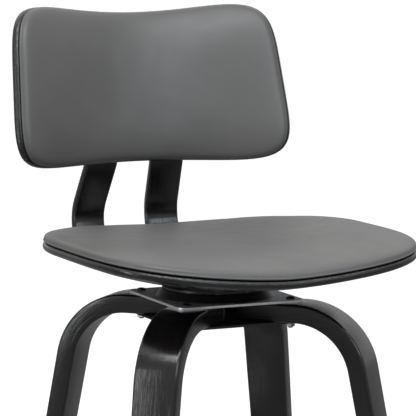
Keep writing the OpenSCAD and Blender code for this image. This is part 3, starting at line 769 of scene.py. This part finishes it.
def make_base_bolts():
    """Bolts down through the plate and the legs, and bolts through the legs into the foot ring."""
    axis = Matrix.Translation((0, AXIS_Y, 0))
    legs = [axis @ Matrix.Rotation(math.radians(a), 4, "Z") for a in LEG_ANGLES.values()]
    above = Matrix.Translation((PLATE_HOLE * math.sqrt(2), 0, LEG_TOP + PLATE_T))
    make_bolts("leg_button_bolts", "leg_bolts", [leg @ above for leg in legs],
               2 * PLATE_T + LEG_T + LEG_BOLT_END, "base")
    out = Matrix.Rotation(math.pi / 2 - LEG_SPLAY, 4, "Y")
    ring_r = leg_face(LEG_BEND_R - LEG_T, RING_H) - (RING_D / 2 + PAD_GAP) / math.cos(LEG_SPLAY)
    head = Matrix.Translation((0, 0, RING_D / 2 + PAD_GAP + LEG_T))
    make_bolts("foot_ring_button_bolts", "foot_ring_bolts",
               [leg @ Matrix.Translation((ring_r, 0, RING_H)) @ out @ head for leg in legs],
               LEG_T + PAD_GAP + RING_BOLT_IN, "base")


def make_seat_bolts():
    """Bolts through the back supports, up into the seat shell and forward into the back shell."""
    _, mid_z, meet, recline = strip_path()
    low = STRIP_T / 2 + BOLT_HEAD_R * math.sin(STRIP_LEAN) + PAD_GAP
    head_down = Matrix.Rotation(math.pi, 4, "X")
    seat_places, back_places = [], []
    for sign in (1, -1):
        for from_end in SEAT_BOLTS_AT:
            d = STRIP_BEND_R + STRIP_RUN - from_end
            x = sign * (STRIP_X - d * math.sin(STRIP_TOE))
            y = STRIP_REAR - d * math.cos(STRIP_TOE)
            seat_places.append(Matrix.Translation((x, y, mid_z - low)) @ head_down)
        toe = Matrix.Rotation(-sign * STRIP_TOE, 4, "Z")
        lean = Matrix.Rotation(-sign * STRIP_LEAN, 4, "Y")
        strip = Matrix.Translation((sign * STRIP_X, STRIP_REAR, mid_z)) @ toe @ lean
        top = strip @ Matrix.Translation((0, *meet)) @ Matrix.Rotation(-recline, 4, "X")
        for height in BACK_BOLTS_AT:
            rear = Matrix.Translation((0, STRIP_T / 2, height)) @ Matrix.Rotation(-math.pi / 2, 4, "X")
            back_places.append(top @ rear)
    make_bolts("seat_button_bolts", "seat_bolts", seat_places, low + SHELL_LOW - mid_z + SEAT_SHELL_T, "seat")
    make_bolts("back_button_bolts", "back_bolts", back_places, STRIP_T + BACK_SHELL_T, "seat")


# ---------------------------------------------------------------- camera, light and floor

def make_camera():
    camera = bpy.data.cameras.new("camera")
    camera.lens = CAMERA_LENS
    camera.sensor_width = 36
    camera.clip_end = 100
    made = bpy.data.objects.new("camera", camera)
    made.location = Vector((0, AXIS_Y, DECK_Z)) + CAMERA_OFFSET
    back = Vector((
        math.sin(CAMERA_AZIMUTH) * math.cos(CAMERA_ELEVATION),
        -math.cos(CAMERA_AZIMUTH) * math.cos(CAMERA_ELEVATION),
        math.sin(CAMERA_ELEVATION),
    ))
    made.rotation_mode = "QUATERNION"
    made.rotation_quaternion = (-back).to_track_quat("-Z", "Y")
    bpy.context.scene.collection.objects.link(made)
    bpy.context.scene.camera = made


def make_light(name, place, target, size, power, colour):
    """A rectangular softbox that faces a target."""
    light = bpy.data.lights.new(name, "AREA")
    light.shape = "RECTANGLE"
    light.size, light.size_y = size
    light.energy = power
    light.color = colour
    made = bpy.data.objects.new(name, light)
    made.location = place
    made.rotation_mode = "QUATERNION"
    made.rotation_quaternion = (Vector(target) - Vector(place)).to_track_quat("-Z", "Y")
    bpy.context.scene.collection.objects.link(made)


def make_sun():
    """Broad overhead light, as from a ceiling of lamps."""
    light = bpy.data.lights.new("overhead", "SUN")
    light.energy = SUN_POWER
    light.angle = SUN_ANGLE
    made = bpy.data.objects.new("overhead", light)
    made.rotation_euler = SUN_TILT
    bpy.context.scene.collection.objects.link(made)


def make_world():
    """White to the camera, dimmer in reflections and dimmer still as a light."""
    world = bpy.data.worlds.new("studio")
    world.use_nodes = True
    tree = world.node_tree
    background = tree.nodes["Background"]
    background.inputs["Color"].default_value = (1, 1, 1, 1)
    path = tree.nodes.new("ShaderNodeLightPath")
    strength = tree.nodes.new("ShaderNodeMath")
    strength.operation = "MAXIMUM"
    tree.links.new(to_range(tree, path.outputs["Is Glossy Ray"], SKY, SKY_GLOSS), strength.inputs[0])
    tree.links.new(to_range(tree, path.outputs["Is Camera Ray"], SKY, SKY_SEEN), strength.inputs[1])
    tree.links.new(strength.outputs["Value"], background.inputs["Strength"])
    bpy.context.scene.world = world


def make_floor():
    """A wide pale floor."""
    bm = bmesh.new()
    bmesh.ops.create_grid(bm, x_segments=1, y_segments=1, size=30)
    mesh = bpy.data.meshes.new("floor")
    bm.to_mesh(mesh)
    bm.free()
    material, tree, shader = node_material("pale_floor")
    shader.inputs["Roughness"].default_value = 0.95
    shader.inputs["Specular IOR Level"].default_value = 0.1
    shader.inputs["Emission Color"].default_value = (1, 1, 1, 1)
    seen = tree.nodes.new("ShaderNodeLightPath").outputs["Is Camera Ray"]
    tree.links.new(to_range(tree, seen, FLOOR_GREY, FLOOR_SEEN), shader.inputs["Base Color"])
    tree.links.new(to_range(tree, seen, 0, FLOOR_GLOW), shader.inputs["Emission Strength"])
    mesh.materials.append(material)
    made = bpy.data.objects.new("floor", mesh)
    bpy.context.scene.collection.objects.link(made)


make_camera()
make_world()
make_floor()
make_sun()
make_light("front_above", (-0.5, -1.45, 2.7), (0, 0, 0.7), (2.6, 0.6), 42, (0.92, 0.96, 1))
make_light("front_right", (0.62, -2.75, 1.8), (0, 0, 0.75), (1.0, 0.9), 13, (0.80, 0.88, 1))
make_light("left", (-2.6, -0.3, 1.0), (0, 0, 0.75), (0.4, 1.6), 12, (0.93, 0.97, 1))
bpy.context.scene.view_settings.view_transform = "Standard"

make_seat_shell()
make_back_shell()
make_seat_pad()
make_back_pad()
for corner, degrees in LEG_ANGLES.items():
    make_leg(corner, degrees)
make_back_support("left", 1)
make_back_support("right", -1)

make_base_bolts()
make_seat_bolts()

# The CAD nodes that show as they are, with the width of their softened edges in millimetres
DRESSED = (
    (PAINT, "black_steel", {"swivel_top_disc": 0.6, "swivel_housing": 0.5, "lower_leg_plate": 0.5}),
    (ZINC, "bright_steel", {"swivel_base_plate": 0.5, "leg_bolt_nuts": 0.4, "leg_screws": 0.2,
                            "glide_screws": 0.2, "king_pin": 0.4, "lower_race": 0.2, "upper_race": 0.2,
                            "disc_screws": 0.2, "seat_tee_nuts": 0.2, "back_tee_nuts": 0.2}),
    (CHROME, "chrome", {"foot_ring": 0, "bearing_balls": 0}),
    (PLY, "plywood", {"seat_pad_board": 0, "back_pad_board": 0}),
    (NYLON, "black_nylon", {"ball_cage": 0.4, **{f"{corner}_glide": 0.4 for corner in LEG_ANGLES}}),
    (BLOCK, "black_bentwood", {"mounting_block": 1}),
)
for material, slot, widths in DRESSED:
    for name, width in widths.items():
        bevelled(name, material, width * MM, slot)
